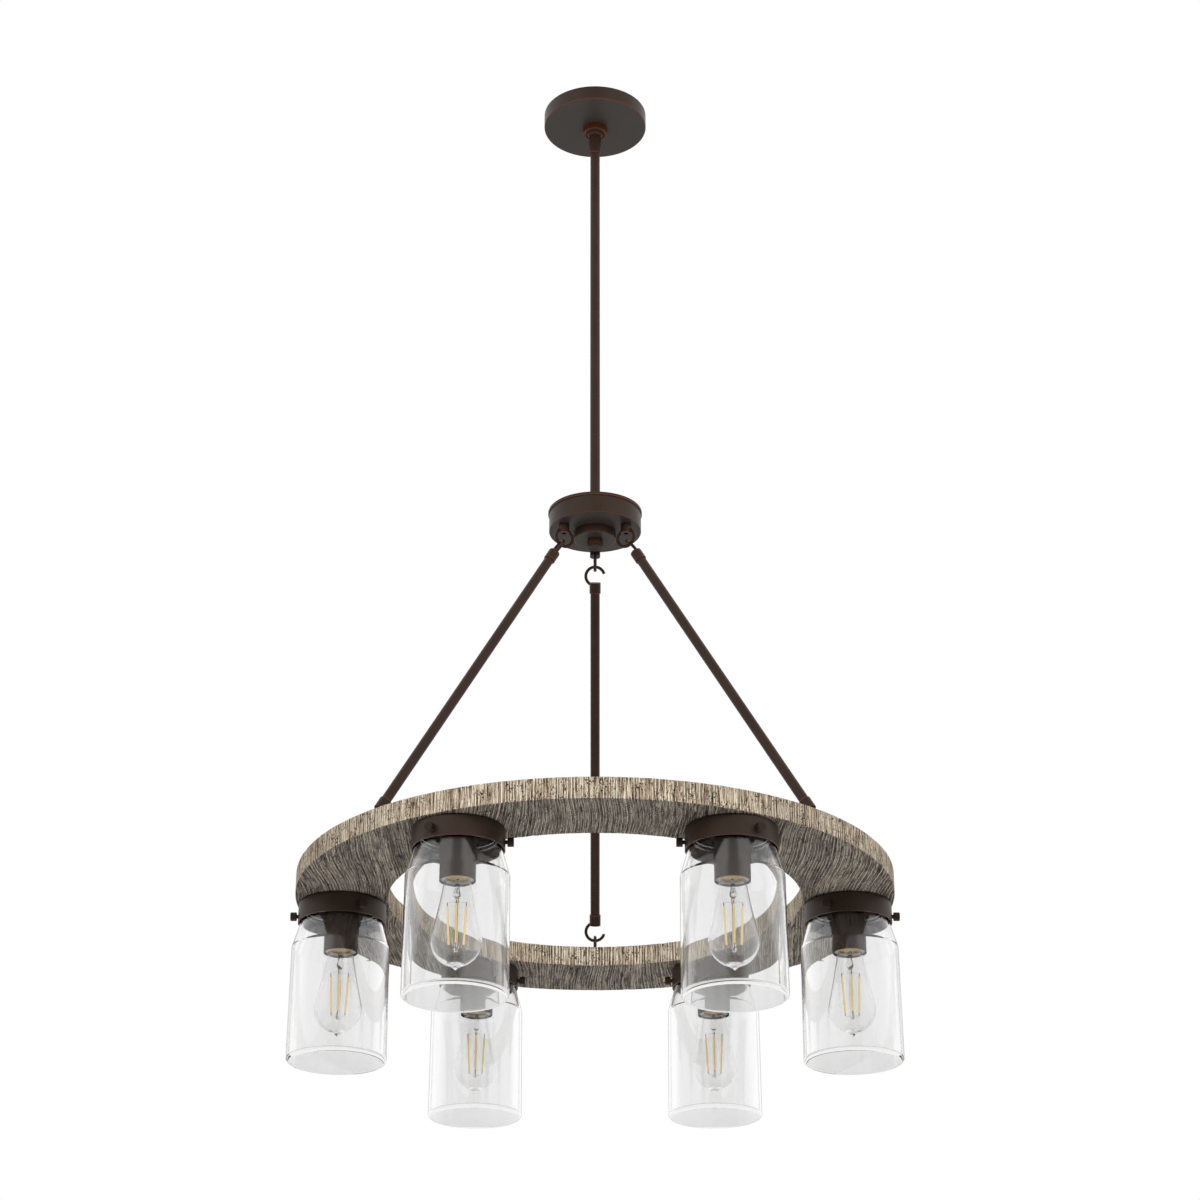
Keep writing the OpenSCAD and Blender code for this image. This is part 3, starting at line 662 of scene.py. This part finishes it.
# ring
def value_noise(seed, *axes):
    """Smooth noise from 0 to 1 on one to three axes, in cells of one unit."""
    size, strides = 4096, (17, 969, 2227)
    table = np.random.default_rng(seed).random(size)
    cells = [np.floor(a).astype(int) for a in axes]
    shares = [a - c for a, c in zip(axes, cells)]
    shares = [t * t * (3.0 - 2.0 * t) for t in shares]
    total = 0.0
    for corner in range(2 ** len(axes)):
        index, weight = 0, 1.0
        for k, (cell, t) in enumerate(zip(cells, shares)):
            bit = corner >> k & 1
            index = index + (cell + bit) * strides[k]
            weight = weight * (t if bit else 1.0 - t)
        total = total + weight * table[index % size]
    return total


def ring_profile():
    """The ring's outline, with points close enough to carry the grain."""
    edge_r, rim_steps, flat_steps = 0.7, 12, 44
    inner, high = RING_R - RING_W, RING_LOW + RING_T
    corners = [(RING_R, RING_LOW), (RING_R, high), (inner, high), (inner, RING_LOW)]
    profile = []
    for i, (a, b) in enumerate(zip(corners, corners[1:] + corners[:1])):
        profile.extend(corner_arc(corners[i - 1], a, b, edge_r, 3))
        count = flat_steps if math.dist(a, b) > RING_T * 2.0 else rim_steps
        for t in np.arange(1, count) / count:
            profile.append((a[0] + (b[0] - a[0]) * t, a[1] + (b[1] - a[1]) * t))
    return np.array(profile)


def grain_depth(x, y, height, to_edge):
    """How deep the grain, the cracks and the chips along the edges go, in millimetres."""

    def peaks(seed, above, *axes):
        """Noise that is 0 up to a level, and rises from there."""
        return np.clip(value_noise(seed, *axes) - above, 0.0, 1.0)

    across = x + 34.0 * (value_noise(3, x / 260.0 + 9.0, y / 190.0 + 9.0) - 0.5)
    ridge = value_noise(5, across / 3.1, y / 160.0)
    coarse = value_noise(6, across / 9.0, y / 240.0, height / 40.0)
    crack = peaks(7, 0.80, across / 5.0, y / 60.0, height / 18.0) * 5.0
    chip = peaks(8, 0.70, x / 7.0, y / 7.0, height / 6.0) * 3.0
    depth = RIDGE_DEPTH * (1.0 - ridge) + COARSE_DEPTH * (1.0 - coarse) + CRACK_DEPTH * crack
    return depth + CHIP_DEPTH * chip * np.exp(-to_edge / CHIP_REACH)


def make_ring():
    """The ring, with brushed grain, open cracks and small chips along its edges."""
    segments = 1440
    profile = ring_profile()
    radius = np.repeat(profile[:, 0], segments)
    height = np.repeat(profile[:, 1], segments)
    angle = np.tile(np.arange(segments) * 2.0 * math.pi / segments, len(profile))
    # distances to the rims, the flat faces and the nearest edge
    to_flat = np.minimum(height - RING_LOW, RING_LOW + RING_T - height)
    to_edge = np.minimum(
        np.maximum(RING_R - radius, to_flat), np.maximum(radius - RING_R + RING_W, to_flat)
    )
    depth = grain_depth(radius * np.cos(angle), radius * np.sin(angle), height, to_edge)
    margin = 0.5
    off_r, off_z = radius - BAND_R, height - RING_LOW - RING_T / 2.0
    on_rim = np.abs(off_r) > RING_W / 2.0 - margin
    on_flat = np.abs(off_z) > RING_T / 2.0 - margin
    radius = radius - np.sign(off_r) * np.where(on_rim, depth, 0.0)
    height = height - np.sign(off_z) * np.where(on_flat, depth, 0.0)
    points = np.column_stack([radius * np.cos(angle), radius * np.sin(angle), height])
    faces = grid_faces(len(profile), segments, True)
    obj = mesh_object("ring_timber", points, faces, TIMBER, 40.0)
    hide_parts("ring")
    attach(obj, "ring_frame")


make_ring()


# jars
def make_jars():
    """The jars' glass as smooth turned shells, on the source's profile."""
    body_r = JAR_R - JAR_TAPER
    slope = (body_r - SHOULDER_RIM_R) / (SHOULDER_Z - FITTER_H)
    neck_low = FITTER_H - (SHOULDER_RIM_R - NECK_R) / slope
    bead_low = SCREW_Z - SCREW_R - LOOSE_GAP
    bead_top = bead_low - BEAD_H
    throat_r = NECK_R - JAR_WALL
    floor_z = JAR_BOTTOM - JAR_BASE
    # (radius, depth below the ring, radius of the rounding)
    outline = [
        (0.0, JAR_BOTTOM, 0.0),
        (JAR_R, JAR_BOTTOM, HEEL_R),
        (body_r, SHOULDER_Z, SHOULDER_BEND_R),
        (NECK_R, neck_low, 0.8),
        (NECK_R, bead_low, 0.6),
        (BEAD_R, bead_low, 1.2),
        (BEAD_R, bead_top, 1.4),
        (throat_r, bead_top, 1.4),
        (throat_r, neck_low + 1.0, 3.0),
        (body_r - JAR_WALL, SHOULDER_Z + 1.0, SHOULDER_BEND_R - JAR_WALL),
        (JAR_R - JAR_WALL, floor_z, FLOOR_CORNER_R),
        (0.0, floor_z, 0.0),
    ]
    profile = rounded([(r, -z) for r, z, _ in outline], [bend for _, _, bend in outline], 10)
    jars = at_lights("jar_glass", lathe(profile, 160), JAR_GLASS, "ring_frame", 50.0)
    for i, jar in enumerate(jars):
        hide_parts(f"jar_{i + 1}")


make_jars()


# bulbs
def envelope_profile(inset=0.0):
    """The bulb's skin from its base to its nub, as (radius, height), inset by the glass."""
    radius = GLOBE_R - inset
    slope, touch = math.radians(BULB_NECK_SLOPE), math.radians(GLOBE_TOUCH)
    neck = np.array([BULB_NECK_R - inset, -BULB_NECK_Z])
    start = np.array([radius * math.cos(touch), radius * math.sin(touch) - GLOBE_Z])
    # the side leaves the neck at its slope and meets the globe at its own
    reach = np.linalg.norm(start - neck)
    leave = np.array([math.sin(slope), -math.cos(slope)]) * reach
    meet = np.array([math.sin(touch), -math.cos(touch)]) * reach
    side_steps, globe_steps = 16, 36
    side = []
    for t in np.arange(side_steps) / side_steps:
        back = 1.0 - t
        blend = neck * back * back * (1.0 + 2.0 * t) + start * t * t * (3.0 - 2.0 * t)
        side.append(tuple(blend + leave * t * back * back - meet * t * t * back))
    low = -math.acos(NUB_R / GLOBE_R)
    angles = touch + (low - touch) * np.arange(globe_steps + 1) / globe_steps
    globe = [(radius * math.cos(a), radius * math.sin(a) - GLOBE_Z) for a in angles]
    flare = smooth_curve([(13.0 - inset, -BASE_LOW), (14.4 - inset, -60.5), side[0]], 5)[:-1]
    return flare + side + globe


def make_envelopes():
    """The bulbs' glass, closed under the globe by a nub with a drawn tip."""
    nub_z = -GLOBE_Z - math.sqrt(GLOBE_R**2 - NUB_R**2)
    roof_z = nub_z + 0.9
    tip = [(NUB_R, nub_z), (7.4, nub_z - 0.5), (5.0, nub_z - 1.9), (2.4, nub_z - 4.0)]
    tip = smooth_curve([*tip, (0.9, -TIP_Z + 0.3)], 4)[1:]
    inside = [(r, z) for r, z in envelope_profile(BULB_WALL) if z > roof_z + 0.3]
    inside += [(inside[-1][0] - 0.8, roof_z), (0.0, roof_z)]
    shell = lathe([*reversed(inside), *envelope_profile(), *tip, (0.0, -TIP_Z)], 96)
    bulbs = at_lights("bulb_glass", shell, BULB_GLASS, "bulb_{}_body", 50.0)
    for i, bulb in enumerate(bulbs):
        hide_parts(f"bulb_{i + 1}")


def rolled_thread():
    """The screw base's thread, which fades out at both ends."""
    rows, columns = 90, 72
    points = []
    for r in range(rows + 1):
        z = -BASE_LOW + THREAD_L * r / rows
        fade = min(1.0, r / 12.0, (rows - r) / 8.0)
        for c in range(columns):
            a = 2.0 * math.pi * c / columns
            wave = 0.5 - 0.5 * math.cos(2.0 * math.pi * (z / THREAD_PITCH - a / (2.0 * math.pi)))
            radius = THREAD_R - THREAD_DEPTH * fade * wave
            points.append((radius * math.cos(a), radius * math.sin(a), z))
    return points, grid_faces(rows + 1, columns, False)


def make_bases():
    """The bulbs' brass bases, each with its insulator and centre contact."""
    rim_low = -BASE_LOW - 0.4
    rim = rounded([(12.0, rim_low), (13.08, rim_low), (13.08, -BASE_LOW)], [0, 0.3, 0], 8)
    fill = lathe([(12.2, -BASE_LOW + 0.8), (6.0, -BASE_LOW + 1.4), (0.0, -BASE_LOW + 1.6)], 48)
    top = lathe([(12.9, -38.8), (11.6, -37.7), (9.4, -36.9), (7.6, -35.8)], 72)
    contact = lathe([(4.7, -33.5), (4.3, -33.1), (2.6, -32.8), (0.0, -32.8)], 48)
    brass = joined(rolled_thread(), lathe(rim, 72), fill, top, contact)
    at_lights("bulb_base", brass, BRASS, "bulb_{}_body", 50.0)
    collar = lathe([(7.6, -35.9), (6.9, -34.7), (5.6, -33.8), (4.6, -33.5)], 48)
    at_lights("bulb_insulator", collar, PORCELAIN, "bulb_{}_body", 50.0)


def make_stems():
    """The bulbs' glass stems: a neck and a bead, and the rod that carries the filaments."""
    neck = [(1.6, -58.4), (2.2, -60.0), (2.6, -62.5), (2.7, -66.0), (2.7, -69.5)]
    bead = [(3.3, -71.8), (4.2, -74.4), (4.3, -76.6), (3.6, -79.0), (2.3, -80.8), (2.0, -83.0)]
    rod = [(1.7, -87.0), (1.45, -96.0), (1.45, -126.0)]
    end = [(1.7, -132.0), (2.5, -134.5), (2.7, -138.0), (2.3, -141.0)]
    side = smooth_curve([*neck, *bead, *rod, *end], 5)
    profile = [(0.0, -STEM_TOP), *side, (0.0, -STEM_LOW)]
    at_lights("bulb_stem", lathe(profile, 40), BULB_GLASS, "bulb_{}_body", 60.0)


def filament(top, low):
    """A phosphor stick with round ends."""
    along = (low - top).normalized()
    path, radii = [], []
    for end, inwards in ((top, along), (low, -along)):
        rows = []
        for t in np.linspace(0.0, math.pi / 2.0, 6):
            place = end + inwards * FILAMENT_R * (1.0 - math.cos(t))
            rows.append((place, max(FILAMENT_R * math.sin(t), FILAMENT_TIP_R)))
        for place, radius in rows if end is top else reversed(rows):
            path.append(place)
            radii.append(radius)
    return swept(path, radii, 16)


def make_filaments():
    """Four sticks round the stem, each between two pins, with a lead above and a foot below."""
    up = Vector((0.0, 0.0, 1.0))
    lead_end, foot_end = -85.0, -138.0
    sticks, wires = [], []
    for k in range(4):
        a = math.pi / 2.0 * k
        out = Vector((math.cos(a), math.sin(a), 0.0))
        top = out * FILAMENT_TOP_R - up * FILAMENT_TOP
        low = out * FILAMENT_LOW_R - up * FILAMENT_LOW
        along = (low - top).normalized()
        pin_top, pin_low = top - along * 3.6, low + along * 2.6
        lead = [pin_top, pin_top - out * 2.0 + up * 0.5, out * 1.2 + up * lead_end]
        foot = [pin_low, out * 4.6 + up * (foot_end - 0.4), out * 1.6 + up * foot_end]
        sticks.append(filament(top, low))
        wires.append(wire([pin_top, top + along * 0.6], PIN_TOP_R, 10))
        wires.append(wire([low - along * 0.6, pin_low], PIN_LOW_R, 10))
        wires.append(wire(smooth_curve(lead, 6), LEAD_R, 8))
        wires.append(wire(smooth_curve(foot, 6), LEAD_R, 8))
    at_lights("bulb_filaments", joined(*sticks), PHOSPHOR_PAINTED_GLOW, "bulb_{}_body", 60.0)
    at_lights("bulb_wires", joined(*wires), WIRE, "bulb_{}_body", 60.0)


make_envelopes()
make_bases()
make_stems()
make_filaments()


# knob
def make_knob():
    """The hub's nut, with an upright knurl round its side."""
    columns, plain_low, plain_high = 288, 1.6, 1.2
    side_heights = (1.4, 2.4, 5.5, 8.7, 9.7)
    low, high = COVER_LOW - KNOB_H, COVER_LOW
    outline = [(0.0, low), (KNOB_R - 2.0, low)]
    outline += corner_arc((KNOB_R - 2.0, low), (KNOB_R, low), (KNOB_R, high), 0.8, 5)
    outline += [(KNOB_R, low + height) for height in side_heights]
    outline += corner_arc((KNOB_R, low), (KNOB_R, high), (KNOB_BORE_R, high), 0.4, 4)
    outline += [(KNOB_BORE_R, high), (KNOB_BORE_R, high - KNOB_BORE), (0.0, high - KNOB_BORE)]
    points, faces = lathe(outline, columns)
    points = np.array(points)
    radius = np.hypot(points[:, 0], points[:, 1])
    angle = np.arctan2(points[:, 1], points[:, 0])
    on_knurl = (
        (radius > KNOB_R - 0.02)
        & (points[:, 2] > low + plain_low)
        & (points[:, 2] < high - plain_high)
    )
    cut = KNURL_DEPTH * (0.5 + 0.5 * np.cos(angle * KNURL_RIDGES)) ** 2
    points[:, :2] *= np.where(on_knurl, 1.0 - cut / np.maximum(radius, 1.0), 1.0)[:, None]
    obj = mesh_object("knob_knurled", points, faces, KNOB_BRONZE, 40.0)
    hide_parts("hub_knob")
    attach(obj, "knob")


make_knob()


# stage and light
def seen_directly(g, path):
    """1 for the rays that show the backdrop: from the camera, off metal and through glass."""
    through = g.math("MAXIMUM", path["Is Glossy Ray"], path["Is Transmission Ray"])
    return g.math("MAXIMUM", path["Is Camera Ray"], through)


def make_floor():
    """A wide round floor far below, plain and pale."""
    radius, low = 30000.0, -6500.0
    g = material_graph("pale_floor")
    cloud = g.noise(g.place(), 3.0, 2.0)
    path = g.node("LightPath").outputs
    unseen = (0.77, 0.76, 0.75)
    pale = g.ramp(cloud, [(0.3, (0.90, 0.90, 0.90)), (0.7, (0.93, 0.93, 0.93))])
    colour = g.mix_colour(seen_directly(g, path), unseen, pale)
    shader = g.principled(Base_Color=colour, Roughness=0.8)
    glow = g.add(g.mul(path["Is Camera Ray"], 0.44), g.mul(path["Is Transmission Ray"], 0.24))
    shader.inputs["Emission Color"].default_value = (1.0, 1.0, 1.0, 1.0)
    g.put(shader.inputs["Emission Strength"], glow)
    points, faces = lathe([(0.0, low), (radius, low)], 128)
    mesh_object("floor", points, faces, g.finish(shader))


def make_world():
    """A white studio, which lights less than it shows."""
    world = bpy.data.worlds.new("studio")
    bpy.context.scene.world = world
    g = Graph(world, "OutputWorld")
    path = g.node("LightPath").outputs
    level = g.step(seen_directly(g, path), 0.0, 1.0, 0.54, 1.0)
    # the studio is dark behind the camera, which shows as a stripe on round metal
    x, y, _ = g.split(g.node("TexCoord").outputs["Generated"])
    aside = g.math("ABSOLUTE", g.math("ARCTAN2", x, g.mul(y, -1.0)))
    behind = g.step(aside, 0.10, 0.40, 0.40, 1.0)
    strength = g.mul(level, g.mix(path["Is Glossy Ray"], 1.0, behind))
    g.finish(g.node("Background", Color=(1.0, 1.0, 1.0), Strength=strength))


def make_softbox(name, place, width, height, power):
    """A soft lamp that shines on the ring and doesn't show in metal or glass."""
    target = Vector((0.0, 0.0, -1.0))
    data = bpy.data.lights.new(name, "AREA")
    data.shape = "RECTANGLE"
    data.size, data.size_y = width, height
    data.energy = power
    lamp = bpy.data.objects.new(name, data)
    bpy.context.scene.collection.objects.link(lamp)
    lamp.location = place
    lamp.visible_glossy = False
    lamp.visible_transmission = False
    lamp.rotation_euler = (target - Vector(place)).to_track_quat("-Z", "Y").to_euler()


make_floor()
make_world()
make_softbox("softbox_left", (-3.2, -2.6, -0.2), width=1.2, height=2.6, power=17.5)
make_softbox("softbox_right", (3.2, -2.6, -0.2), width=1.2, height=2.6, power=17.5)
make_softbox("softbox_front", (0.0, -7.5, 1.2), width=4.2, height=2.4, power=240.0)

bpy.context.scene.view_settings.view_transform = "Standard"
